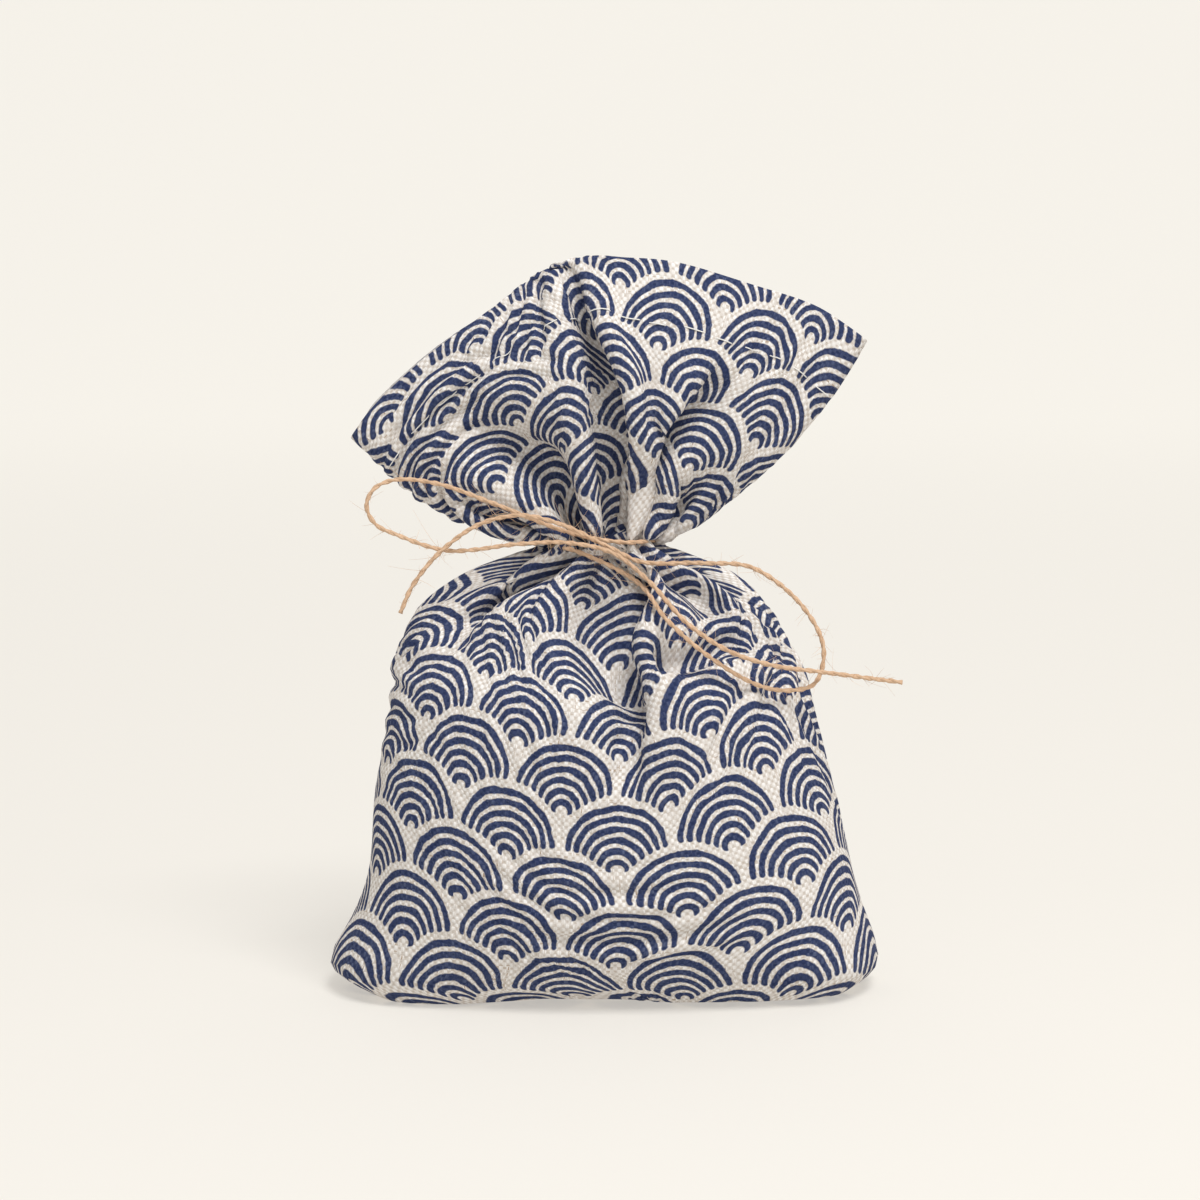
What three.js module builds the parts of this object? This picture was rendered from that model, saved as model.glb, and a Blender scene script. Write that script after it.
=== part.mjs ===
// A small cloth pouch, filled, standing on its folded foot, its neck tied with jute twine in a bow.
// Millimetres, +Z up, the front towards -Y. The origin is on the floor, under the middle of the bag.
import * as THREE from 'three';
import { mergeVertices } from 'three/addons/utils/BufferGeometryUtils.js';

// Driving dimensions of the bag
const FOOT_WIDTH = 114.4;
const BODY_DEPTH = 61;
const NECK_HEIGHT = 92.4;
const NECK_BAND = 3.4;
const TIE_HEIGHT = NECK_HEIGHT + NECK_BAND / 2;
const NECK_WIDTH = 19;
const NECK_DEPTH = 14;
const COLLAR_WIDTH = 106;
const COLLAR_HEIGHT = 58;
const MOUTH_GAP = 7;
const RIM_WALL = 2.4;
const CORNER_THICKNESS = 2.6;

// Driving dimensions of the twine
const TWINE_DIAMETER = 1.1;
const TWINE_CLEARANCE = 0.75;
const TURN_START = -2.19;
const TURN_OPENING = 1.05;
const TURN_CLIMB = 1.6;
const TURN_POINTS = 14;
const TWINE_STEPS = 88;
const TWINE_SIDES = 8;

// Fineness of the bag's solid
const SIDE_SEGMENTS = 22;
const RINGS_PER_SPAN = 2;
const COLLAR_RINGS = 9;
const MOUTH_RINGS = 5;

// Outline of the filled bag from its foot to its neck, in shares: the height of NECK_HEIGHT, the reach
// to the left and to the right of half FOOT_WIDTH, the section's depth of BODY_DEPTH. A roundness of 1
// is an ellipse, and less is squarer. The left and right sides differ, as slack cloth does.
const BODY_OUTLINE = [
  { height: 0, left: 0.84, right: 0.88, depth: 0.66, roundness: 0.62 },
  { height: 0.012, left: 0.94, right: 0.95, depth: 0.73, roundness: 0.66 },
  { height: 0.04, left: 1.0, right: 1.0, depth: 0.8, roundness: 0.7 },
  { height: 0.13, left: 0.945, right: 0.98, depth: 0.92, roundness: 0.76 },
  { height: 0.26, left: 0.86, right: 0.918, depth: 1.0, roundness: 0.82 },
  { height: 0.433, left: 0.84, right: 0.85, depth: 1.0, roundness: 0.88 },
  { height: 0.617, left: 0.787, right: 0.773, depth: 0.94, roundness: 0.93 },
  { height: 0.757, left: 0.745, right: 0.682, depth: 0.8, roundness: 0.96 },
  { height: 0.855, left: 0.664, right: 0.587, depth: 0.64, roundness: 1 },
  { height: 0.925, left: 0.516, right: 0.48, depth: 0.48, roundness: 1 },
  { height: 0.968, left: 0.341, right: 0.323, depth: 0.34, roundness: 1 },
];

// The open rim seen from the front, from the left corner over the top to the right corner: how far
// along COLLAR_WIDTH from the middle of the neck, and how far up COLLAR_HEIGHT from it.
const RIM_OUTLINE = [
  { across: -0.49, up: 0.341 },
  { across: -0.437, up: 0.479 },
  { across: -0.319, up: 0.676 },
  { across: -0.189, up: 0.848 },
  { across: -0.064, up: 0.986 },
  { across: 0.047, up: 1 },
  { across: 0.152, up: 0.983 },
  { across: 0.292, up: 0.893 },
  { across: 0.415, up: 0.802 },
  { across: 0.51, up: 0.688 },
];
const LEFT_EDGE_BULGE = 8.4;
const RIGHT_EDGE_BULGE = 9;

// The hollow between the collar's two layers: how far down the collar it goes, and how much of its
// width it loses on the way.
const MOUTH_REACH = 0.58;
const MOUTH_TAPER = 0.55;

// The twine's free stretches, by hand: the left end, the right loop, the left loop, the right end.
// Each point's height is counted from the middle of the neck's band, where the twine is tied.
const LEFT_TAIL = [
  [-41.3, -13.0, -13.1],
  [-38.8, -12.6, -7.6],
  [-33.6, -12.2, -1.1],
  [-25.4, -12.0, 4.9],
  [-17.0, -12.0, 6.9],
  [-8.6, -11.9, 5.1],
];
const RIGHT_LOOP = [
  [1.6, -10.9, 0.1],
  [8.0, -11.6, -2.7],
  [20.0, -12.0, -2.9],
  [30.6, -12.6, -3.8],
  [40.9, -13.6, -11.7],
  [45.1, -15.0, -20.1],
  [43.4, -16.4, -26.9],
  [39.0, -18.0, -28.2],
  [32.0, -20.6, -26.9],
  [21.6, -23.6, -20.5],
  [13.0, -22.4, -13.1],
  [7.2, -14.9, -6.5],
];
const LEFT_LOOP = [
  [-3.0, -9.4, 2.1],
  [-9.6, -10.2, 4.1],
  [-21.3, -9.6, 8.7],
  [-33.8, -9.2, 13.1],
  [-42.1, -9.2, 13.9],
  [-46.6, -9.3, 12.1],
  [-48.2, -9.5, 8.5],
  [-46.4, -9.7, 4.8],
  [-42.1, -10.0, 2.7],
  [-31.7, -10.6, -0.5],
  [-17.2, -11.2, 0.9],
  [-7.6, -11.9, 1.3],
];
const RIGHT_TAIL = [
  [2.0, -12.6, -0.7],
  [9.4, -17.4, -5.9],
  [16.8, -22.4, -13.5],
  [24.6, -24.6, -18.7],
  [33.6, -21.8, -22.3],
  [46.0, -17.6, -24.7],
  [61.2, -15.0, -27.1],
];

/** Returns count + 1 even steps from 0 to 1, both ends with it. */
function fractions(count) {
  return Array.from({ length: count + 1 }, (_, step) => step / count);
}

/** Returns a smooth value between the entries of a list, at a share t of the way along it. */
function smoothValue(list, key, t) {
  const place = t * (list.length - 1);
  const low = Math.min(Math.floor(place), list.length - 2);
  const at = (index) => list[Math.max(0, Math.min(list.length - 1, index))][key];
  const [a, b, c, d] = [at(low - 1), at(low), at(low + 1), at(low + 2)];
  const s = place - low;
  return 0.5 * (2 * b + (c - a) * s + (2 * a - 5 * b + 4 * c - d) * s * s + (3 * b - a - 3 * c + d) * s ** 3);
}

/** Returns a number's power with its sign kept. */
function signedPower(value, power) {
  return Math.sign(value) * Math.abs(value) ** power;
}

/** Returns one closed section of the bag: out along the front from left to right, back behind. */
function flatRing(height, left, right, halfDepth, roundness) {
  const ring = [];
  for (let step = 0; step < 2 * SIDE_SEGMENTS; step += 1) {
    const angle = (Math.PI * step) / SIDE_SEGMENTS;
    const x = (right - left) / 2 - ((right + left) / 2) * signedPower(Math.cos(angle), roundness);
    ring.push(new THREE.Vector3(x, -halfDepth * signedPower(Math.sin(angle), roundness), height));
  }
  return ring;
}

/** Returns the sections of the filled bag, from its foot on the floor up to the tied neck. */
function bodyRings() {
  const spans = BODY_OUTLINE.length - 1;
  const rings = fractions(spans * RINGS_PER_SPAN).map((t) => flatRing(
    Math.max(0, smoothValue(BODY_OUTLINE, 'height', t)) * NECK_HEIGHT,
    (smoothValue(BODY_OUTLINE, 'left', t) * FOOT_WIDTH) / 2,
    (smoothValue(BODY_OUTLINE, 'right', t) * FOOT_WIDTH) / 2,
    (smoothValue(BODY_OUTLINE, 'depth', t) * BODY_DEPTH) / 2,
    smoothValue(BODY_OUTLINE, 'roundness', t),
  ));
  for (const height of [NECK_HEIGHT, NECK_HEIGHT + NECK_BAND]) {
    rings.push(flatRing(height, NECK_WIDTH / 2, NECK_WIDTH / 2, NECK_DEPTH / 2, 1));
  }
  return rings;
}

/** Returns the place on the open rim, seen from the front, a share u along it from left to right. */
function rimPoint(u) {
  return new THREE.Vector2(
    smoothValue(RIM_OUTLINE, 'across', u) * COLLAR_WIDTH,
    NECK_HEIGHT + NECK_BAND + smoothValue(RIM_OUTLINE, 'up', u) * COLLAR_HEIGHT,
  );
}

/** Returns a point of the collar's middle face: a fan from the neck to the rim, its edges bowed out. */
function fanPoint(u, rise) {
  const neck = new THREE.Vector2(-(NECK_WIDTH / 2) * Math.cos(Math.PI * u), NECK_HEIGHT + NECK_BAND);
  const rim = rimPoint(u);
  const along = rim.clone().sub(neck).normalize();
  const side = Math.cos(Math.PI * u);
  const bulge = side > 0 ? LEFT_EDGE_BULGE : RIGHT_EDGE_BULGE;
  const outward = new THREE.Vector2(-along.y, along.x).multiplyScalar(side * Math.abs(side) * bulge);
  const control = neck.clone().add(rim).multiplyScalar(0.5).add(outward);
  return new THREE.QuadraticBezierCurve(neck, control, rim).getPoint(rise);
}

/** Returns one closed section of the collar at a share of its rise, with a given half thickness. */
function fanRing(rise, halfThickness) {
  const ring = [];
  for (let step = 0; step < 2 * SIDE_SEGMENTS; step += 1) {
    const angle = (Math.PI * step) / SIDE_SEGMENTS;
    const u = step <= SIDE_SEGMENTS ? step / SIDE_SEGMENTS : 2 - step / SIDE_SEGMENTS;
    const point = fanPoint(u, rise);
    ring.push(new THREE.Vector3(point.x, -Math.sign(Math.sin(angle)) * halfThickness(u), point.y));
  }
  return ring;
}

/** Returns the sections of the collar: up its outside to the rim, then down into its open mouth. */
function collarRings() {
  const rings = [];
  const mouthHalf = MOUTH_GAP / 2;
  const rimHalf = mouthHalf + RIM_WALL;
  for (const rise of fractions(COLLAR_RINGS).slice(1)) {
    const middle = THREE.MathUtils.lerp(NECK_DEPTH / 2, rimHalf, rise);
    const corner = CORNER_THICKNESS / 2;
    rings.push(fanRing(rise, (u) => corner + (middle - corner) * Math.sin(Math.PI * u)));
  }
  for (const fall of fractions(MOUTH_RINGS)) {
    const rise = 1 - fall * MOUTH_REACH;
    const half = mouthHalf * (1 - MOUTH_TAPER * fall);
    rings.push(mouthRing(rise, (u) => half * Math.sin(Math.PI * u) ** 0.5));
  }
  return rings;
}

/** Returns one closed section of the mouth's hollow, held in from the two side seams by the wall. */
function mouthRing(rise, halfGap) {
  const inset = RIM_WALL / COLLAR_WIDTH;
  const ring = [];
  for (let step = 0; step < 2 * SIDE_SEGMENTS; step += 1) {
    const angle = (Math.PI * step) / SIDE_SEGMENTS;
    const share = step <= SIDE_SEGMENTS ? step / SIDE_SEGMENTS : 2 - step / SIDE_SEGMENTS;
    const point = fanPoint(inset + (1 - 2 * inset) * share, rise);
    ring.push(new THREE.Vector3(point.x, -Math.sign(Math.sin(angle)) * halfGap(share), point.y));
  }
  return ring;
}

/** Returns a closed skin through a stack of rings, its two ends closed by a fan to their middles. */
function loft(rings) {
  const around = rings[0].length;
  const points = rings.flat();
  const triangles = [];
  for (let level = 0; level < rings.length - 1; level += 1) {
    for (let step = 0; step < around; step += 1) {
      const next = (step + 1) % around;
      const [a, b] = [level * around + step, level * around + next];
      triangles.push(a, b, b + around, a, b + around, a + around);
    }
  }
  for (const [level, flip] of [[0, true], [rings.length - 1, false]]) {
    const middle = new THREE.Vector3();
    rings[level].forEach((point) => middle.addScaledVector(point, 1 / around));
    points.push(middle);
    for (let step = 0; step < around; step += 1) {
      const [a, b] = [level * around + step, level * around + ((step + 1) % around)];
      triangles.push(...(flip ? [b, a] : [a, b]), points.length - 1);
    }
  }
  const geometry = new THREE.BufferGeometry().setFromPoints(points);
  geometry.setIndex(triangles);
  const merged = mergeVertices(geometry, 1e-4);
  merged.computeVertexNormals();
  return merged;
}

/** Returns the turn of twine round the neck, from the front, round by the left, back to the front. */
function neckTurn() {
  const stand = TWINE_DIAMETER / 2 + TWINE_CLEARANCE;
  return fractions(TURN_POINTS).map((share) => {
    const angle = TURN_START - share * (2 * Math.PI - TURN_OPENING);
    return new THREE.Vector3(
      (NECK_WIDTH / 2 + stand) * Math.cos(angle),
      (NECK_DEPTH / 2 + stand) * Math.sin(angle),
      TIE_HEIGHT + (share - 0.5) * TURN_CLIMB,
    );
  });
}

/** Returns the twine's whole route, from one free end to the other, as one smooth curve. */
function twineCurve() {
  const byHand = (list) => list.map(([x, y, up]) => new THREE.Vector3(x, y, TIE_HEIGHT + up));
  return new THREE.CatmullRomCurve3([
    ...byHand(LEFT_TAIL),
    ...byHand(RIGHT_LOOP),
    ...neckTurn(),
    ...byHand(LEFT_LOOP),
    ...byHand(RIGHT_TAIL),
  ], false, 'centripetal');
}

/** Returns the twine as a round tube along its route. */
function twineGeometry() {
  const section = new THREE.Shape();
  for (let side = 0; side < TWINE_SIDES; side += 1) {
    const angle = (2 * Math.PI * side) / TWINE_SIDES;
    const place = [(TWINE_DIAMETER / 2) * Math.cos(angle), (TWINE_DIAMETER / 2) * Math.sin(angle)];
    section[side === 0 ? 'moveTo' : 'lineTo'](...place);
  }
  section.closePath();
  return new THREE.ExtrudeGeometry(section, {
    steps: TWINE_STEPS,
    bevelEnabled: false,
    extrudePath: twineCurve(),
  });
}

const canvas = new THREE.MeshStandardMaterial({ color: 0xd8ccb8, roughness: 0.92, metalness: 0 });
const jute = new THREE.MeshStandardMaterial({ color: 0xc79a62, roughness: 0.85, metalness: 0 });

const pouch = new THREE.Mesh(loft([...bodyRings(), ...collarRings()]), canvas);
pouch.name = 'pouch';

const twine = new THREE.Mesh(twineGeometry(), jute);
twine.name = 'twine';

const object = new THREE.Group();
object.add(pouch, twine);

export default object;
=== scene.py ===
"""Looks of a small cloth pouch tied with jute twine: printed canvas, a bow, a plain pale studio."""

import logging
import math
from collections.abc import Callable
from dataclasses import dataclass
from enum import Enum

import bpy
import numpy as np
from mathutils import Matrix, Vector


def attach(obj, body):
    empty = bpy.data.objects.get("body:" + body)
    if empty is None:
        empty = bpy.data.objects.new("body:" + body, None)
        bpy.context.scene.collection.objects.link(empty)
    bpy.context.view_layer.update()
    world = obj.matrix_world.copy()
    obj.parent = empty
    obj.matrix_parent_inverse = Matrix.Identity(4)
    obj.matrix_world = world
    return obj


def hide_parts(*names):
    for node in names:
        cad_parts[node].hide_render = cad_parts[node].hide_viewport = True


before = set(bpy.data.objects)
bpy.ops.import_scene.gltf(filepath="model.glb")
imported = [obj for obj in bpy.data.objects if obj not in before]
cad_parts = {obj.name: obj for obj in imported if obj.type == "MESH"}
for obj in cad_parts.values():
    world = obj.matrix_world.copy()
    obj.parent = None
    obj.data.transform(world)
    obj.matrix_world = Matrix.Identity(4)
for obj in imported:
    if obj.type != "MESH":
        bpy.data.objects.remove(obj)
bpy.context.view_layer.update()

LOG = logging.getLogger("pouch")
Array = np.ndarray

MM = 0.001
PHOTO_SIZE = 1200
MM_PER_PIXEL = 0.208
SENSOR_WIDTH = 36.0
UV_MAP = "cloth"
# Metres added to the flat height on the cloth's inside, where nothing is printed.
INSIDE_MARK = 1.0


def smooth_curve(values: Array, places: Array) -> Array:
    """Reads a list of numbers or rows at broken places, by a Catmull-Rom curve through them.

    Args:
        values: The entries, one row each.
        places: Where to read, from 0 to 1 along the list.

    Returns:
        One row for each place.
    """
    values = np.asarray(values, float)
    last = len(values) - 1
    at = np.clip(np.asarray(places, float), 0.0, 1.0) * last
    low = np.minimum(np.floor(at).astype(int), last - 1)
    s = at - low
    if values.ndim > 1:
        s = s[..., None]
    a, b, c, d = (values[np.clip(low + k, 0, last)] for k in (-1, 0, 1, 2))
    square = 2 * a - 5 * b + 4 * c - d
    cube = 3 * b - a - 3 * c + d
    return 0.5 * (2 * b + (c - a) * s + square * s**2 + cube * s**3)


def smooth_step(value: Array, low: float, high: float) -> Array:
    """Returns 0 below low, 1 above high and a smooth ramp between them."""
    share = np.clip((value - low) / (high - low), 0.0, 1.0)
    return share * share * (3 - 2 * share)


def bump(value: Array, width: float) -> Array:
    """Returns a smooth hill: 1 at 0, falling as the exponential of minus (value / width) squared."""
    return np.exp(-((value / width) ** 2))


def signed_power(value: Array, power: Array) -> Array:
    """Returns the power of a number's size, with its sign kept."""
    return np.sign(value) * np.abs(value) ** power


def grid_normals(points: Array) -> Array:
    """Unit normals of a grid that closes on itself along its second axis, pointing outwards.

    Args:
        points: Rows by columns by 3, rows going up, columns going to the right seen from outside.

    Returns:
        An array of the same shape.
    """
    along = np.roll(points, -1, axis=1) - np.roll(points, 1, axis=1)
    up = np.empty_like(points)
    up[1:-1] = points[2:] - points[:-2]
    up[0] = points[1] - points[0]
    up[-1] = points[-1] - points[-2]
    normal = np.cross(along, up)
    return normal / np.maximum(np.linalg.norm(normal, axis=-1, keepdims=True), 1e-9)


@dataclass(frozen=True)
class Viewpoint:
    """Where the photograph was taken from, in millimetres, and how it shows a point.

    Attributes:
        look: The point in the middle of the picture.
        distance: From that point to the camera.
        elevation: The camera's height angle in degrees.
    """

    look: tuple = (-0.5, 0.0, 81.9)
    distance: float = 700.0
    elevation: float = 8.0

    def axes(self) -> tuple:
        """Returns the directions forwards, to the right and up of the camera."""
        tilt = math.radians(self.elevation)
        ahead = np.array([0.0, math.cos(tilt), -math.sin(tilt)])
        return ahead, np.array([1.0, 0.0, 0.0]), np.array([0.0, math.sin(tilt), math.cos(tilt)])

    def pixels(self, points: Array) -> Array:
        """Returns where points stand in the photograph, in its pixels from the top left."""
        ahead, right, up = self.axes()
        away = np.asarray(points) - np.array(self.look)
        scale = self.distance / (self.distance + away @ ahead) / MM_PER_PIXEL
        half = PHOTO_SIZE / 2
        return np.stack([half + (away @ right) * scale, half - (away @ up) * scale], -1)


class Over(Enum):
    """Which side of a fold lies over the other, with the sign that the formulas use."""

    LEFT = -1
    NEITHER = 0
    RIGHT = 1


@dataclass(frozen=True)
class Tuck:
    """An upright fold that hides a band of cloth behind its neighbour, in millimetres.

    Attributes:
        line: Points s, t and the hidden width of cloth, going up.
        over: Which side lies over.
        slant: How far the hidden band leans aside instead of straight in, in degrees.
        lip: How far the covering side stands proud.
        hollow: How far the covered side lies in.
        lip_at: From the fold's edge to the top of the lip.
        lip_width: Width of the lip's hill.
        hollow_width: Width of the hollow's hill.
        fade: Beyond the line's ends the tuck fades out over this length, and where it hides less
            cloth than this its lip and hollow are lower.
    """

    line: tuple
    over: Over
    slant: float
    lip: float
    hollow: float
    lip_at: float = 3.5
    lip_width: float = 4.5
    hollow_width: float = 6.0
    fade: float = 8.0

    def at(self, t: Array) -> tuple:
        """Returns the tuck's place and its hidden width at each height of the cloth."""
        place, up, hidden = np.array(self.line, float).T
        ends = np.interp(t, [up[0] - self.fade, up[0], up[-1], up[-1] + self.fade], [0, 1, 1, 0])
        return np.interp(t, up, place), np.interp(t, up, hidden) * ends

    def gone(self, s: Array, t: Array) -> Array:
        """Returns how much cloth is hidden to the left of a point."""
        place, hidden = self.at(t)
        return hidden * np.clip((s - place) / np.maximum(hidden, 0.01) + 0.5, 0, 1)

    def press(self, form: Array, s: Array, t: Array) -> Array:
        """Pushes the hidden band in and aside, down to a fold in its middle.

        The band goes in by its distance to its nearer edge. The lip and the hollow are smooth hills
        along the normal on the two sides of it.

        Args:
            form: Rows by columns by 3.
            s: Flat coordinate across, of each point.
            t: Flat coordinate up, of each point.
        """
        place, hidden = self.at(t)
        half = np.maximum(hidden, 0.01) / 2
        deep = half * np.clip(1 - np.abs((s - place) / half), 0, 1)
        normal = grid_normals(form)
        across = np.stack([-normal[..., 1], normal[..., 0], 0 * normal[..., 2]], -1)
        across = across / np.maximum(np.linalg.norm(across, axis=-1, keepdims=True), 1e-6)
        lean = math.radians(self.slant)
        covering = (s - place) * self.over.value - half
        covered = (place - s) * self.over.value - half
        proud = self.lip * bump(covering - self.lip_at, self.lip_width)
        proud = (proud - self.hollow * bump(covered, self.hollow_width)) * np.minimum(hidden / self.fade, 1)
        aside = self.over.value * deep * math.sin(lean)
        return form + normal * (proud - deep * math.cos(lean))[..., None] + across * aside[..., None]


@dataclass(frozen=True)
class Fold:
    """A valley pressed into the cloth along a line, in millimetres.

    Attributes:
        line: Points of the valley on the flat cloth: s, t, depth and width.
        lip: How far the covering side stands proud, or the valley's middle where neither covers.
        over: Which side lies over.
        valley_aside: How far the valley's floor lies from the line, in widths.
        lip_aside: How far the lip lies from the line, in widths.
        lip_steep: How much steeper than the valley the lip is.
    """

    line: tuple
    lip: float
    over: Over = Over.NEITHER
    valley_aside: float = 0.45
    lip_aside: float = 1.1
    lip_steep: float = 1.6

    def press(self, form: Array, s: Array, t: Array, girth: float) -> Array:
        """Presses the fold into a form: in by a smooth hill of the distance to the line.

        Args:
            form: Rows by columns by 3.
            s: Flat coordinate across, of each point.
            t: Flat coordinate up, of each point.
            girth: The cloth's length round, after which s repeats.
        """
        line = np.array(self.line, float)
        middle = line[:, 0].mean()
        s = (s - middle + girth / 2) % girth - girth / 2 + middle
        place = np.stack([s, t], -1)
        nearest = np.full(s.shape, 1e9)
        aside = np.zeros(s.shape)
        sizes = np.zeros((*s.shape, 2))
        for start, end in zip(line[:-1], line[1:]):
            span = end[:2] - start[:2]
            share = np.clip(((place - start[:2]) @ span) / (span @ span), 0, 1)
            away = place - (start[:2] + share[..., None] * span)
            distance = np.hypot(away[..., 0], away[..., 1])
            closer = distance < nearest
            nearest = np.where(closer, distance, nearest)
            turned = span[1] * away[..., 0] - span[0] * away[..., 1]
            aside = np.where(closer, np.sign(turned) * distance, aside)
            sizes = np.where(closer[..., None], start[2:] + share[..., None] * (end - start)[2:], sizes)
        depth, width = np.moveaxis(sizes, -1, 0)
        d = aside / width
        inward = depth * np.exp(-((d + self.valley_aside * self.over.value) ** 2))
        proud = self.lip * np.exp(-((d - self.lip_aside * self.over.value) ** 2) * self.lip_steep)
        return form + grid_normals(form) * (proud - inward)[..., None]


@dataclass(frozen=True)
class PrintGrid:
    """Where the print's waves stand on the flat cloth, in millimetres.

    Attributes:
        pitch: From one wave to the next in a row.
        row_gap: From one row to the next.
        first_top: Height of the tops of row 0.
        first_middle: Place across of a wave of row 0.
    """

    pitch: float = 23.0
    row_gap: float = 12.05
    first_top: float = 23.5
    first_middle: float = 4.5


@dataclass(frozen=True)
class PrintRow:
    """One row of the print as the photograph shows it.

    Attributes:
        row: Its number above the foot.
        first: Flat coordinate s of its first wave, in millimetres.
        tops: Each wave's top as read in the photograph's pixels, None where it is hidden.
    """

    row: int
    first: float
    tops: tuple

    def seen(self, grid: PrintGrid) -> list:
        """Returns flat s and t and the two pixel coordinates of each wave that can be seen."""
        up = grid.first_top + self.row * grid.row_gap
        return [(self.first + k * grid.pitch, up, *top) for k, top in enumerate(self.tops) if top]


@dataclass(frozen=True)
class ClothHalf:
    """The cloth below or above the tie, and how it is laid on its smooth form.

    Attributes:
        rows: Which of the cloth's rows belong to it.
        tucks: The tucks that hide some of it.
        waves: The print's rows that the photograph shows on it.
        shape: The form's points as a function of the turn round it and the rise.
        seen: Lowest and highest rise at which its waves are looked for.
        kept: Lowest and highest rise that its points may have.
        reach: Width of the hills that spread a wave's move, in millimetres of cloth.
        slack: How much of a single wave's move is left out for a smoother cloth.
        fade: Rise up to which the neck's pleats draw the cloth round.
        firm_end: Whether its end away from the tie stays where it is.
    """

    rows: Array
    tucks: tuple
    waves: tuple
    shape: Callable[[Array, Array], Array]
    seen: tuple
    kept: tuple
    reach: float
    slack: float
    fade: float
    firm_end: bool


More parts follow.
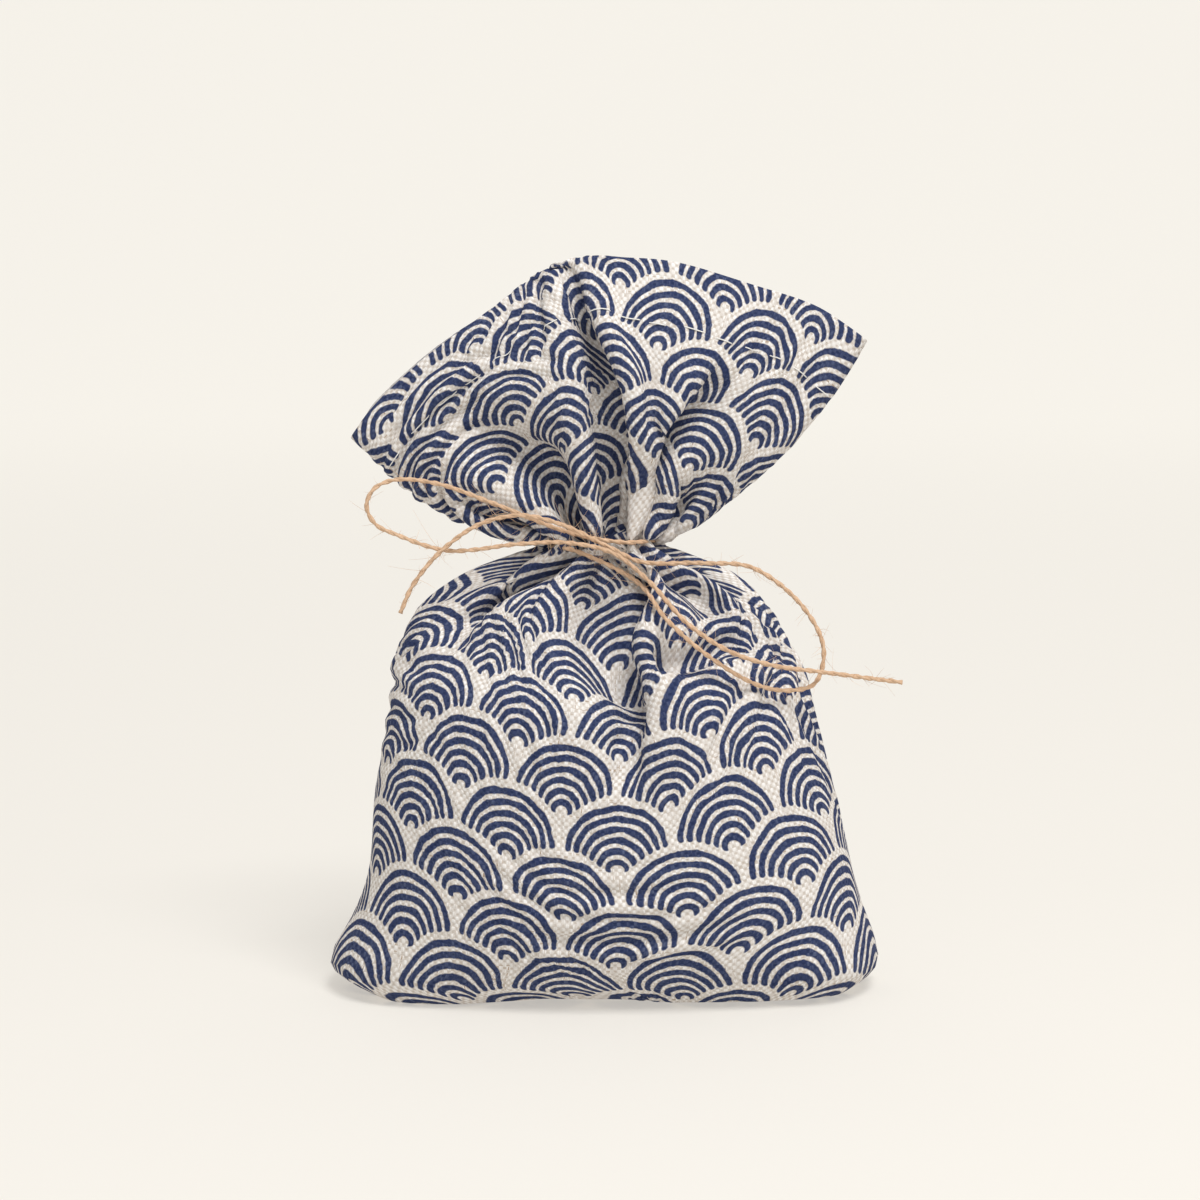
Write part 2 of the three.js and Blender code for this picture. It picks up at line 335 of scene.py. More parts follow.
@dataclass
class PouchCloth:
    """The pouch's cloth: a sewn tube with a folded foot, filled, gathered at the neck.

    All sizes are in millimetres. The cloth's own flat coordinates are s, round the tube from the
    left seam over the front to the right seam and back behind, and t, up from the foot's middle.
    The rise is -1 at the foot, 0 at the tie and 1 at the rim, and the turn is where round a section
    a point lies: 0 at the left, 0.25 at the front, 0.5 at the right.

    Attributes:
        flat_width: Width of the cloth laid flat.
        flat_height: From the folded foot to the rim.
        foot_half: Height on the cloth of the flat base's edge.
        neck_at: Mean height on the cloth of the tie.
        neck_slant: How much higher on the cloth the tie passes at the left, and lower at the right.
        collar_turn: How far the collar is turned to the left against the body.
        seams_behind: How far the body's seams lie behind its sides.
        neck_height: Height of the tie above the floor.
        neck_half_width: Half the tied neck's width.
        neck_half_depth: Half its depth.
        foot_width: Width of the foot.
        body_depth: Depth of the filled body.
        columns: Points round the tube.
        body_rows: Points from the base's edge to the tie.
        collar_rows: Points from there to the rim.
        body_outline: Height as a share of the neck's, reach to the left and right as shares of half
            the foot, depth as a share of the body's, and power of the section's roundness.
        rim_outline: X and height of the rim's points, from the left to the right.
        edge_bulge: How far the collar's left and right edges bow out.
        ear: How far the foot's left and right corners are drawn out.
        ear_at: Height on the cloth of these corners.
        ear_size: Width of the hills that draw them out.
        lift_at: Places along the foot's front edge.
        lift: How far the front edge is off the floor there.
        groove_cloth: Place on the cloth of the neck's pleats.
        groove_turn: Where round the neck each of them lies.
        groove_body: How far down each reaches, as a rise.
        groove_collar: How far up each reaches.
        folds: The single folds that the photograph shows.
        body_tucks: The tucks below the tie.
        collar_tucks: The tucks above it.
        print_grid: Where the print's waves stand.
        body_waves: The print's rows seen below the tie.
        collar_waves: The print's rows seen above it.
    """

    flat_width: float = 130.0
    flat_height: float = 197.0
    foot_half: float = 20.0
    neck_at: float = 134.0
    neck_slant: float = 2.0
    collar_turn: float = 7.0
    seams_behind: float = 4.5
    neck_height: float = 94.1
    neck_half_width: float = 10.0
    neck_half_depth: float = 7.6
    foot_width: float = 114.4
    body_depth: float = 61.0
    columns: int = 208
    body_rows: int = 87
    collar_rows: int = 50
    body_outline: tuple = (
        (0.000, 0.81, 0.87, 0.62, 0.55),
        (0.020, 0.90, 0.93, 0.67, 0.58),
        (0.048, 1.00, 1.00, 0.76, 0.64),
        (0.080, 0.985, 0.99, 0.83, 0.68),
        (0.130, 0.945, 0.98, 0.91, 0.76),
        (0.260, 0.86, 0.918, 1.00, 0.82),
        (0.433, 0.84, 0.85, 1.00, 0.88),
        (0.617, 0.787, 0.773, 0.96, 0.93),
        (0.700, 0.765, 0.730, 0.87, 0.95),
        (0.757, 0.745, 0.682, 0.70, 0.96),
        (0.855, 0.664, 0.587, 0.52, 1.00),
        (0.925, 0.516, 0.48, 0.40, 1.00),
        (0.968, 0.341, 0.323, 0.31, 1.00),
        (1.000, 0.175, 0.175, 0.25, 1.00),
    )
    rim_outline: tuple = (
        (-51.9, 115.6), (-46.3, 123.6), (-33.8, 135.0), (-20.0, 144.2), (-6.8, 151.6),
        (5.0, 152.2), (16.1, 151.4), (31.0, 146.8), (44.0, 142.3), (54.0, 135.7),
    )
    edge_bulge: tuple = (8.4, 9.0)
    ear: tuple = (2.4, 2.2)
    ear_at: float = 24.0
    ear_size: float = 7.0
    lift_at: tuple = (-47.0, -29.0, -12.0, 4.0, 14.0, 32.0, 46.0, 54.0)
    lift: tuple = (0.0, 0.5, 2.0, 1.8, 1.2, 1.2, 1.8, 0.8)
    groove_cloth: tuple = (-50.0, -24.0, 2.0, 28.0, 54.0, 80.0, 106.0, 132.0, 158.0, 184.0)
    groove_turn: tuple = (0.06, 0.17, 0.272, 0.36, 0.45, 0.555, 0.66, 0.76, 0.86, 0.96)
    groove_body: tuple = (0.14, 0.12, 0.10, 0.12, 0.14, 0.5, 0.8, 0.8, 0.8, 0.5)
    groove_collar: tuple = (0.25, 0.28, 0.35, 0.4, 0.3, 0.5, 0.9, 0.9, 0.9, 0.5)
    folds: tuple = (
        Fold(((-24, 132, 5, 4), (-30, 126, 9, 5), (-37, 118, 10, 5), (-43, 108, 7, 5), (-48, 98, 1, 6)), 2.0),
        Fold(
            ((15, 99, 1, 3), (22, 100, 7, 3.5), (30, 100, 8, 3.5), (38, 99.5, 5, 3.5), (44, 97, 0.5, 4)),
            1.5,
            Over.RIGHT,
        ),
        Fold(((33, 132, 5, 4), (37, 122, 9, 4.5), (38, 114, 7, 4.5), (38, 106, 2, 4)), 1.5),
        Fold(
            (
                (-16, 137, 3, 4), (-22, 143, 12, 6), (-28, 152, 15, 7),
                (-33, 161, 11, 6), (-38, 172, 5, 5), (-40, 186, 1, 5),
            ),
            1.2,
        ),
    )
    body_tucks: tuple = (
        Tuck(
            ((9, 74, 0.5), (9.5, 84, 3.5), (12, 96, 10), (8, 108, 15), (9, 120, 26), (9, 132, 24)),
            Over.RIGHT, slant=45.0, lip=5.0, hollow=9.0,
        ),
    )
    collar_tucks: tuple = (
        Tuck(
            (
                (11, 136, 20), (11, 144, 26), (7.5, 156, 25), (6, 168, 21),
                (6, 176, 13), (4.5, 184, 5), (4.5, 190, 1),
            ),
            Over.RIGHT, slant=50.0, lip=3.0, hollow=6.0,
        ),
        Tuck(
            ((33, 138, 8), (34, 148, 9), (36, 156, 9), (40, 166, 9), (42, 173, 4), (43, 178, 0.5)),
            Over.LEFT, slant=30.0, lip=3.0, hollow=7.0,
        ),
    )
    print_grid: PrintGrid = PrintGrid()
    body_waves: tuple = (
        PrintRow(0, -41.5, ((395, 980), (510, 990), (625, 990), (735, 980), (850, 963))),
        PrintRow(1, -53.0, ((365, 912), (455, 942), (565, 953), (685, 955), (800, 930), (868, 905))),
        PrintRow(2, -41.5, ((415, 873), (500, 900), (625, 920), (740, 892), (845, 857))),
        PrintRow(3, -53.0, ((388, 805), (450, 833), (563, 862), (670, 856), (785, 818))),
        PrintRow(4, -41.5, ((420, 763), (515, 790), (618, 812), (713, 781), (795, 745))),
        PrintRow(5, -53.0, ((395, 697), (475, 720), (570, 742), (670, 742), (752, 707), (800, 695))),
        PrintRow(6, -41.5, ((453, 663), (517, 678), (619, 703), (681, 673), (766, 639))),
        PrintRow(7, -53.0, ((444, 607), (520, 614), (572, 652), (614, 638), (712, 634))),
        PrintRow(8, -18.5, ((548, 586), None, (631, 598), (708, 572))),
    )
    collar_waves: tuple = (
        PrintRow(14, -41.5, ((437, 375), (514, 318), (573, 273), (669, 286), (770, 314), (853, 359))),
        PrintRow(13, -30.0, ((494, 377), (571, 328), (612, 332), (720, 356), (783, 386))),
        PrintRow(12, -41.5, ((455, 444), (553, 397), None, (646, 400), (714, 409), (788, 462))),
        PrintRow(11, -7.0, ((600, 430), None, None, (720, 483))),
        PrintRow(10, -18.5, ((581, 495), None, None, (658, 503))),
    )

    def __post_init__(self) -> None:
        """Works out the flat coordinates of the grid's points."""
        self.girth = 2 * self.flat_width
        self.rows = self.body_rows + self.collar_rows
        self.step_s = self.girth / self.columns
        self.s = np.arange(self.columns) * self.step_s - self.flat_width / 2
        neck = self.neck_line(self.s)
        self.rise = np.concatenate([
            np.linspace(-1, 0, self.body_rows),
            np.linspace(0, 1, self.collar_rows + 1)[1:],
        ])
        rise = self.rise[:, None]
        self.t = neck + rise * np.where(rise < 0, neck - self.foot_half, self.flat_height - neck)
        tries = np.linspace(0, self.neck_height, 300)
        front = self.body_point(np.full(300, 0.25), tries)
        side = self.body_point(np.full(300, 0.0), tries)
        length = sum(np.linalg.norm(np.diff(line, axis=0), axis=1) for line in (front, side)) / 2
        gone = np.concatenate([[0], np.cumsum(length)])
        self.length_share = gone / gone[-1]
        self.length_height = tries

    def neck_turns(self) -> Array:
        """Returns where round the neck each column passes, 0 at the left seam, 0.5 at the right."""
        cloth = np.array(self.groove_cloth)
        turn = np.array(self.groove_turn)
        cloth = np.concatenate([cloth - self.girth, cloth, cloth + self.girth])
        turn = np.concatenate([turn - 1, turn, turn + 1])
        return np.interp(self.s, cloth, turn)

    def groove_depths(self) -> Array:
        """Returns how deep each point lies in the neck's pleats, from 0 on a lobe to 1 in a groove.

        The depth is a cosine from pleat to pleat, and each pleat fades out with its own reach below
        and above the tie.
        """
        cloth = np.array(self.groove_cloth)
        cloth = np.concatenate([cloth[-1:] - self.girth, cloth, cloth[:1] + self.girth])
        phase = np.interp(self.s, cloth, np.arange(len(cloth)))
        wave = 0.5 + 0.5 * np.cos(2 * math.pi * phase)
        near = (np.round(phase).astype(int) - 1) % len(self.groove_cloth)
        rise = self.rise[:, None]
        reach = np.where(rise < 0, np.array(self.groove_body)[near], np.array(self.groove_collar)[near])
        return wave * bump(np.abs(rise), reach)

    def body_point(self, turn: Array, height: Array) -> Array:
        """A point of the filled body's smooth outer form.

        The section at each height is a superellipse, whose reach, depth and roundness follow the
        outline's curve. Low down its back is flatter.

        Args:
            turn: Where round the section.
            height: Height above the floor.

        Returns:
            The point's X, Y and Z in the last axis.
        """
        outline = np.array(self.body_outline)
        order = np.linspace(0, 1, 400)
        fine = smooth_curve(outline, order)
        place = np.interp(height / self.neck_height, np.maximum.accumulate(fine[:, 0]), order)
        _, left, right, depth, roundness = np.moveaxis(smooth_curve(outline, place), -1, 0)
        angle = 2 * math.pi * turn
        half = self.foot_width / 2
        reach = (left + right) / 2 * half
        x = (right - left) / 2 * half - reach * signed_power(np.cos(angle), roundness)
        behind = 1 - 0.35 * (np.sin(angle) < 0) * (1 - smooth_step(height, 2.0, 20.0))
        y = -depth * behind * self.body_depth / 2 * signed_power(np.sin(angle), roundness)
        return np.stack([x, y, height + 0 * x], axis=-1)

    def fan_point(self, turn: Array, rise: Array) -> Array:
        """A point of the collar's smooth outer form, a flattened fan from the neck to the rim.

        Each line of the fan is a quadratic curve from the neck to the rim, bowed out at the edges,
        and the two layers part by a half sine across it.

        Args:
            turn: Where round the section.
            rise: From 0 at the tie to 1 at the rim.

        Returns:
            The point's X, Y and Z in the last axis.
        """
        share = np.where(turn < 0.5, turn * 2, 2 - turn * 2)
        angle = 2 * math.pi * turn
        rim = smooth_curve(np.array(self.rim_outline), share)
        neck = np.stack([-self.neck_half_width * np.cos(angle), self.neck_height + 0 * angle], -1)
        along = rim - neck
        along = along / np.linalg.norm(along, axis=-1, keepdims=True)
        side = np.cos(math.pi * share)
        bulge = np.where(side > 0, *self.edge_bulge)
        outward = np.stack([-along[..., 1], along[..., 0]], -1) * (side * np.abs(side) * bulge)[..., None]
        middle = (neck + rim) / 2 + outward
        r = rise[..., None]
        place = (1 - r) ** 2 * neck + 2 * r * (1 - r) * middle + r**2 * rim
        half = (1 - rise) * self.neck_half_depth + rise * 3.4 + 8.5 * np.sin(math.pi * rise)
        y = -half * signed_power(np.sin(angle), 0.8) * (1 - 0.15 * rise)
        lower = 1.4 * rise**2 * np.clip(-np.sin(angle), 0, 1) ** 0.5
        return np.stack([place[..., 0], y, place[..., 1] - lower], axis=-1)

    def seen_s(self, tucks: tuple, s: Array, t: Array) -> Array:
        """Returns the coordinate across the cloth with the tucks' hidden bands left out."""
        hidden = sum(tuck.gone(s, t) for tuck in tucks)
        total = sum(tuck.at(t)[1] for tuck in tucks)
        front = np.clip((s + self.flat_width / 2) / self.flat_width, 0, 1)
        on_front = s < self.flat_width / 2
        return np.where(on_front, s - hidden + total * front, s)

    def guide(self, half: ClothHalf, s: Array, t: Array) -> Array:
        """How far the photograph's waves have moved on the smooth form from their even places.

        Each wave's top is found on the form where the camera sees it, and the moves are spread
        over the cloth by smooth hills, fitted by least squares.

        Args:
            half: The part of the cloth.
            s: Flat coordinates to read the moves at.
            t: The same, up the cloth.

        Returns:
            The moves of turn and rise in the last axis.
        """
        waves = np.array([wave for row in half.waves for wave in row.seen(self.print_grid)], float)
        at = np.stack([self.seen_s(half.tucks, waves[:, 0], waves[:, 1]), waves[:, 1]], -1)
        turn, rise = np.meshgrid(np.linspace(0.0, 0.5, 400), np.linspace(*half.seen, 300))
        seen = Viewpoint().pixels(half.shape(turn, rise)).reshape(-1, 2)
        best = [int(np.argmin(((seen - spot) ** 2).sum(1))) for spot in waves[:, 2:]]
        found = np.stack([turn.ravel()[best], rise.ravel()[best]], -1)
        even = self.even_rise(at[:, 0], at[:, 1])
        start = np.stack([self.even_turn(at[:, :1], even, half.shape)[:, 0], even], -1)

        def hills(here: Array) -> Array:
            """Returns the height of each wave's hill at each place."""
            away = here[:, None] - at[None]
            return np.exp(-(away**2).sum(-1) / (2 * half.reach**2))

        weights = np.linalg.solve(hills(at) + half.slack * np.eye(len(at)), found - start)
        here = np.stack([self.seen_s(half.tucks, s, t).ravel(), t.ravel()], -1)
        return (hills(here) @ weights).reshape(*s.shape, 2)

    def neck_line(self, s: Array) -> Array:
        """Returns how far up the cloth the tie passes."""
        turned = 2 * math.pi * (s + self.flat_width / 2) / self.girth
        return self.neck_at + self.neck_slant * np.cos(turned)

    def even_rise(self, s: Array, t: Array) -> Array:
        """Returns the rise of points of the cloth."""
        neck = self.neck_line(s)
        return (t - neck) / np.where(t < neck, neck - self.foot_half, self.flat_height - neck)

    def even_turn(self, s: Array, rise: Array, shape: Callable[[Array, Array], Array]) -> Array:
        """Returns the turn of points of the cloth laid evenly round the form.

        Args:
            s: Flat coordinate across, one row for each rise.
            rise: How far up each row is.
            shape: The form as a function of turn and rise.
        """
        even = np.linspace(0, 1, 721)
        ring = shape(even[None, :] + 0 * rise[:, None], rise[:, None] + 0 * even[None, :])
        steps = np.linalg.norm(np.diff(ring, axis=1), axis=2)
        run = np.concatenate([np.zeros((len(rise), 1)), np.cumsum(steps, axis=1)], axis=1)
        run = run / steps.sum(1)[:, None]
        turned = self.collar_turn * smooth_step(rise, 0.0, 0.5)
        along = (s + self.flat_width / 2 - turned[:, None]) / self.girth
        behind = smooth_step(rise, -1.0, -0.7) * (1 - smooth_step(rise, -0.3, -0.05))
        along = along - self.seams_behind / self.girth * behind[:, None] * np.cos(2 * math.pi * along)
        whole = np.floor(along)
        return np.array([np.interp(a, r, even) for a, r in zip(along - whole, run)]) + whole

    def body_shape(self, turn: Array, rise: Array) -> Array:
        """The body's form with the rise measured by the cloth's length."""
        return self.body_point(turn, np.interp(1 + rise, self.length_share, self.length_height))

    def fan_shape(self, turn: Array, rise: Array) -> Array:
        """The collar's form for any turn."""
        return self.fan_point(turn % 1.0, rise)

    def halves(self) -> tuple:
        """Returns the cloth below the tie and above it."""
        body = ClothHalf(
            rows=self.rise <= 0, tucks=self.body_tucks, waves=self.body_waves, shape=self.body_shape,
            seen=(-1.0, -0.02), kept=(-1.0, -0.02), reach=24.0, slack=0.20, fade=0.42, firm_end=True,
        )
        collar = ClothHalf(
            rows=self.rise > 0, tucks=self.collar_tucks, waves=self.collar_waves, shape=self.fan_shape,
            seen=(0.02, 1.0), kept=(-0.08, 1.0), reach=20.0, slack=0.15, fade=0.8, firm_end=False,
        )
        return body, collar

    def smooth_form(self) -> Array:
        """The cloth laid on its smooth outer form, moved as the photograph's waves are, and tucked.

        Near the tie its points go to their pleats' places round the neck instead.

        Returns:
            Rows by columns by 3.
        """
        form = np.zeros((*self.t.shape, 3))
        for half in self.halves():
            t = self.t[half.rows]
            s = np.broadcast_to(self.s, t.shape)
            moves = self.guide(half, s, t)
            rise = np.broadcast_to(self.rise[half.rows][:, None], t.shape)
            turn = self.even_turn(self.seen_s(half.tucks, s, t), self.rise[half.rows], half.shape)
            gap = (self.neck_turns()[None] - turn + 0.5) % 1.0 - 0.5
            turn = turn + gap * (1 - smooth_step(np.abs(rise), 0.0, half.fade))
            near = smooth_step(np.abs(rise), 0.02, 0.3)
            ends = smooth_step(1 - np.abs(rise), 0.0, 0.1) if half.firm_end else 1.0
            turn = turn + moves[..., 0] * near
            rise = np.clip(rise + moves[..., 1] * near * ends, *half.kept)
            laid = half.shape(np.mod(turn, 1.0), rise)
            for tuck in half.tucks:
                laid = tuck.press(laid, s, t)
            form[half.rows] = laid
        return form

    def shape_foot(self, form: Array) -> Array:
        """Draws the foot's two ears out, squares its front corners and lifts its front edge.

        Each is a smooth hill round its place on the cloth.
        """
        s = np.broadcast_to(self.s, self.t.shape)
        low = bump(self.t - self.foot_half, self.ear_size)
        left = (s + self.flat_width / 2 + self.girth / 2) % self.girth - self.girth / 2
        right = s - self.flat_width / 2
        corner = bump(self.t - self.ear_at, self.ear_size)
        form = form.copy()
        form[..., 0] -= self.ear[0] * corner * bump(left, self.ear_size)
        form[..., 0] += self.ear[1] * corner * bump(right, self.ear_size)
        front = np.clip(-form[..., 1] / 18.0, 0, 1)
        form[..., 1] -= low * front * 3.5 * np.clip(np.abs(form[..., 0]) / 46.0, 0, 1) ** 4
        form[..., 2] += low * front * np.interp(form[..., 0], self.lift_at, self.lift)
        return form

    def pleated_form(self) -> Array:
        """The smooth form with each row folded in until it is as long as the cloth is round.

        A groove goes in towards the row's middle by a share of the way, found by halving the
        range until the row's length is the cloth's girth.

        Returns:
            Rows by columns by 3.
        """
        form = self.smooth_form()
        for fold in self.folds:
            form = fold.press(form, np.broadcast_to(self.s, self.t.shape), self.t, self.girth)
        form = self.shape_foot(form)
        groove = self.groove_depths()[:, :, None]
        collar = (self.rise > 0)[:, None, None]
        inner = np.where(collar, form * np.array([1.0, 0.0, 1.0]), form.mean(axis=1, keepdims=True))
        low = np.zeros((self.rows, 1, 1))
        high = np.full((self.rows, 1, 1), 0.93)
        for _ in range(24):
            share = (low + high) / 2
            folded = form + (inner - form) * share * groove
            length = np.linalg.norm(np.roll(folded, -1, axis=1) - folded, axis=2).sum(axis=1)
            short = (length < self.girth)[:, None, None]
            low = np.where(short, share, low)
            high = np.where(short, high, share)
        return form + (inner - form) * (low + high) / 2 * groove


@dataclass(frozen=True)
class ClothShell:
    """Gives the settled cloth its thickness, its turned hem and its flat base, in millimetres.

    Attributes:
        cloth: The tube, with its flat coordinates.
        thickness: The canvas's.
        hem_deep: How far down the hem is turned in.
        hem_step: How much thicker the cloth is there.
        hem_soft: Half the height over which that thickness comes in.
    """

    cloth: PouchCloth
    thickness: float = 0.6
    hem_deep: float = 13.5
    hem_step: float = 0.35
    hem_soft: float = 0.6

    def build(self, name: str, points: Array) -> bpy.types.Object:
        """Makes the closed mesh: outside up to the rim, over it and down inside.

        Args:
            name: The piece's name.
            points: The settled middle surface.
        """
        cloth = self.cloth
        normal = grid_normals(points)
        edge_at = cloth.flat_height - self.hem_deep
        hem = smooth_step(cloth.t, edge_at - self.hem_soft, edge_at + self.hem_soft)
        half = (self.thickness / 2 + hem * self.hem_step / 2)[..., None]
        up = points[-1] - points[-2]
        up = up / np.linalg.norm(up, axis=-1, keepdims=True)
        edge = points[-1] + up * self.thickness * 0.6
        outer, inner = (
            points[-1] + up * self.thickness * 0.4 + side * normal[-1] * half[-1] * 0.75 for side in (1, -1)
        )
        over_rim = np.stack([outer, edge, inner])
        rings = np.concatenate([points + normal * half, over_rim, (points - normal * half)[::-1]])
        flat = np.zeros((cloth.rows, cloth.columns + 1, 2))
        flat[..., 0] = np.append(cloth.s, cloth.s[0] + cloth.girth)
        flat[..., 1] = np.concatenate([cloth.t, cloth.t[:, :1]], axis=1)
        marked = flat + np.array([0.0, INSIDE_MARK / MM])
        uv = np.concatenate([flat, flat[-1:], flat[-1:], marked[-1:], marked[::-1]])
        piece = tube_mesh(name, rings * MM, uv * MM)
        piece.data.materials.append(CanvasFinish(cloth.print_grid).make("printed_canvas"))
        return piece


@dataclass(frozen=True)
class HemStitches:
    """Long running stitches of pale thread that hold the hem, their ends sunk into the cloth.

    All sizes are in millimetres.

    Attributes:
        cloth: The tube, with its flat coordinates.
        below_rim: How far under the rim they run.
        repeat: From one stitch to the next.
        length: A stitch's usual length.
        radius: The thread's.
        stand: How far a stitch's middle stands off the cloth's middle surface.
        dip: How far its ends go in from there.
        colour: The thread's.
    """

    cloth: PouchCloth
    below_rim: float = 13.4
    repeat: float = 7.4
    length: float = 5.2
    radius: float = 0.13
    stand: float = 0.62
    dip: float = 0.55
    colour: tuple = (0.86, 0.85, 0.82)

    def read(self, grid: Array, s: Array, t: Array) -> Array:
        """Returns a grid of the cloth's values between its points, blended in both ways."""
        cloth = self.cloth
        neck = cloth.neck_line(s - cloth.flat_width / 2)
        row = cloth.body_rows - 1 + (t - neck) / (cloth.flat_height - neck) * cloth.collar_rows
        column = (s / cloth.step_s) % cloth.columns
        low_row, low_column = np.floor(row).astype(int), np.floor(column).astype(int)
        a, b = (row - low_row)[..., None], (column - low_column)[..., None]
        after = (low_column + 1) % cloth.columns
        low = grid[low_row, low_column] * (1 - b) + grid[low_row, after] * b
        high = grid[low_row + 1, low_column] * (1 - b) + grid[low_row + 1, after] * b
        return low * (1 - a) + high * a

    def build(self, name: str, points: Array, seed: int = 3) -> bpy.types.Object:
        """Makes the stitches as short bent rods on the cloth's outside.

        Args:
            name: The piece's name.
            points: The settled middle surface.
            seed: Start of the small unevenness.
        """
        cloth = self.cloth
        chance = np.random.default_rng(seed)
        count = int(cloth.girth / self.repeat)
        share = np.linspace(0, 1, 9)[None]
        begin = (np.arange(count) * self.repeat + chance.uniform(-0.5, 0.5, count))[:, None]
        s = begin + share * (self.length + chance.uniform(-1.2, 0.8, count))[:, None]
        t = cloth.flat_height - self.below_rim + chance.normal(0, 0.25, count)[:, None] + 0 * s
        place, normal = self.read(points, s, t), self.read(grid_normals(points), s, t)
        sunk = self.stand - self.dip * np.abs(2 * share - 1) ** 6
        place = place + normal * sunk[..., None]
        along = np.gradient(place, axis=1)
        along /= np.linalg.norm(along, axis=-1, keepdims=True)
        around = np.linspace(0, 2 * math.pi, 6)[:-1]
        rings = rod_rings(place, np.cross(along, normal), normal, self.radius, around)
        piece = join_pieces(name, [tube_mesh("stitch", rod * MM, np.zeros((9, 6, 2))) for rod in rings])
        thread = Finish("hem_thread")
        thread.send(Base_Color=self.colour, Roughness=0.8)
        piece.data.materials.append(thread.material)
        return piece


@dataclass
class FormHold:
    """Keeps the settling cloth near its form, off the floor and its two layers apart.

    Attributes:
        cloth: The tube.
        form: The pleated form that the cloth is drawn to.
        body: Share of the way that a step draws the body's points back.
        shoulder: What is added to it near the neck.
        collar: The same share for the collar.
        rim: What is added to it at the rim.
        foot: What is added at the foot.
        base_edge: The share of the base's edge.
        behind: Factor on the share in depth of the collar's back.
        floor: Lowest height of the cloth's middle surface, in millimetres.
        apart: Least distance of the collar's layers from its middle plane, in millimetres.
    """

    cloth: PouchCloth
    form: Array
    body: float = 0.03
    shoulder: float = 0.19
    collar: float = 0.11
    rim: float = 0.11
    foot: float = 0.12
    base_edge: float = 0.5
    behind: float = 0.6
    floor: float = 0.4
    apart: float = 0.5

    def __post_init__(self) -> None:
        """Works out each point's share and which layer of the collar it belongs to."""
        cloth = self.cloth
        rise = cloth.rise[:, None, None]
        below = self.body + self.shoulder * smooth_step(rise, -0.42, -0.2)
        above = self.collar + self.rim * smooth_step(rise, 0.9, 1.0)
        tie = cloth.body_rows - 1
        share = np.where(rise < 0, below, above) + 0 * self.form
        share[tie - 1:tie + 2] = 1.0
        share += self.foot * (1 - smooth_step(cloth.t, 20, 36))[..., None]
        share[0] = self.base_edge
        share[tie + 2:, cloth.columns // 2:, 1] *= self.behind
        self.share = share
        self.first_open = tie + 4
        self.front = cloth.smooth_form()[self.first_open:, :, 1] < 0

    def pull(self, points: Array) -> Array:
        """Returns how far each point is drawn to its place on the form."""
        return (self.form - points) * self.share

    def clamp(self, points: Array) -> None:
        """Lifts points off the floor and keeps the collar's layers apart, in place."""
        points[..., 2] = np.maximum(points[..., 2], self.floor)
        y = points[self.first_open:, :, 1]
        y[...] = np.where(self.front, np.minimum(y, -self.apart), np.maximum(y, self.apart))


@dataclass(frozen=True)
class ClothSettler:
    """Relaxes a folded cloth tube until it keeps its cut size, by damped spring steps.

    Attributes:
        cloth: The tube, with its flat coordinates.
        steps: How many steps it takes.
        stretch: Stiffness against stretching along the threads.
        squeeze: Stiffness against being pushed together along the threads.
        shear: Stiffness against a change of the threads' angle.
        bend: Stiffness against sharp bending.
        stiff: Stiffness against broad bending.
        glide: Share of its speed that a point keeps at each step.
    """

    cloth: PouchCloth
    steps: int = 450
    stretch: float = 0.42
    squeeze: float = 0.14
    shear: float = 0.10
    bend: float = 0.10
    stiff: float = 0.05
    glide: float = 0.90

    def springs(self) -> list:
        """Returns the kinds of spring: rows on, columns on, length at rest, and two stiffnesses.

        The stiffnesses are the shares of a lengthening and of a shortening that a step takes back.
        """
        cloth = self.cloth
        kinds = (
            (self.stretch, self.squeeze, ((0, 1), (1, 0))),
            (self.shear, self.shear, ((1, 1), (1, -1))),
            (self.bend, self.bend, ((0, 2), (2, 0), (0, 3), (3, 0))),
            (self.stiff, self.stiff, ((0, 6), (6, 0))),
        )
        found = []
        for tight, slack, ways in kinds:
            for row, on in ways:
                up = np.roll(cloth.t[row:], -on, axis=1) - cloth.t[: cloth.rows - row]
                found.append((row, on, np.hypot(on * cloth.step_s, up), tight, slack))
        return found

    def settle(self, hold: FormHold) -> Array:
        """Takes the spring steps, from the hold's form.

        Args:
            hold: What keeps the points near the form.

        Returns:
            The settled points, rows by columns by 3.
        """
        points = hold.form.copy()
        speed = np.zeros_like(points)
        springs = self.springs()
        for _ in range(self.steps):
            push = np.zeros_like(points)
            for row, on, rest, tight, slack in springs:
                gap = np.roll(points[row:], -on, axis=1) - points[: len(points) - row]
                length = np.sqrt(np.einsum("ijk,ijk->ij", gap, gap)) + 1e-9
                error = (length - rest) / length
                error *= np.where(error > 0, tight, slack)
                move = gap * (0.5 * error)[..., None]
                push[: len(points) - row] += move
                push[row:] -= np.roll(move, on, axis=1)
            push += hold.pull(points)
            speed = self.glide * (speed + push)
            points += speed
            hold.clamp(points)
        return points


def add_piece(name: str, vertices: Array, faces: list, smooth: bool = True) -> bpy.types.Object:
    """Puts a mesh into the scene, as an object at the origin.

    Args:
        name: The piece's name.
        vertices: Points by 3, in metres.
        faces: The points of each face.
        smooth: Whether the faces are shaded as one surface.
    """
    mesh = bpy.data.meshes.new(name)
    mesh.from_pydata(vertices.tolist(), [], faces)
    mesh.polygons.foreach_set("use_smooth", np.full(len(mesh.polygons), smooth))
    mesh.update()
    piece = bpy.data.objects.new(name, mesh)
    bpy.context.scene.collection.objects.link(piece)
    return piece


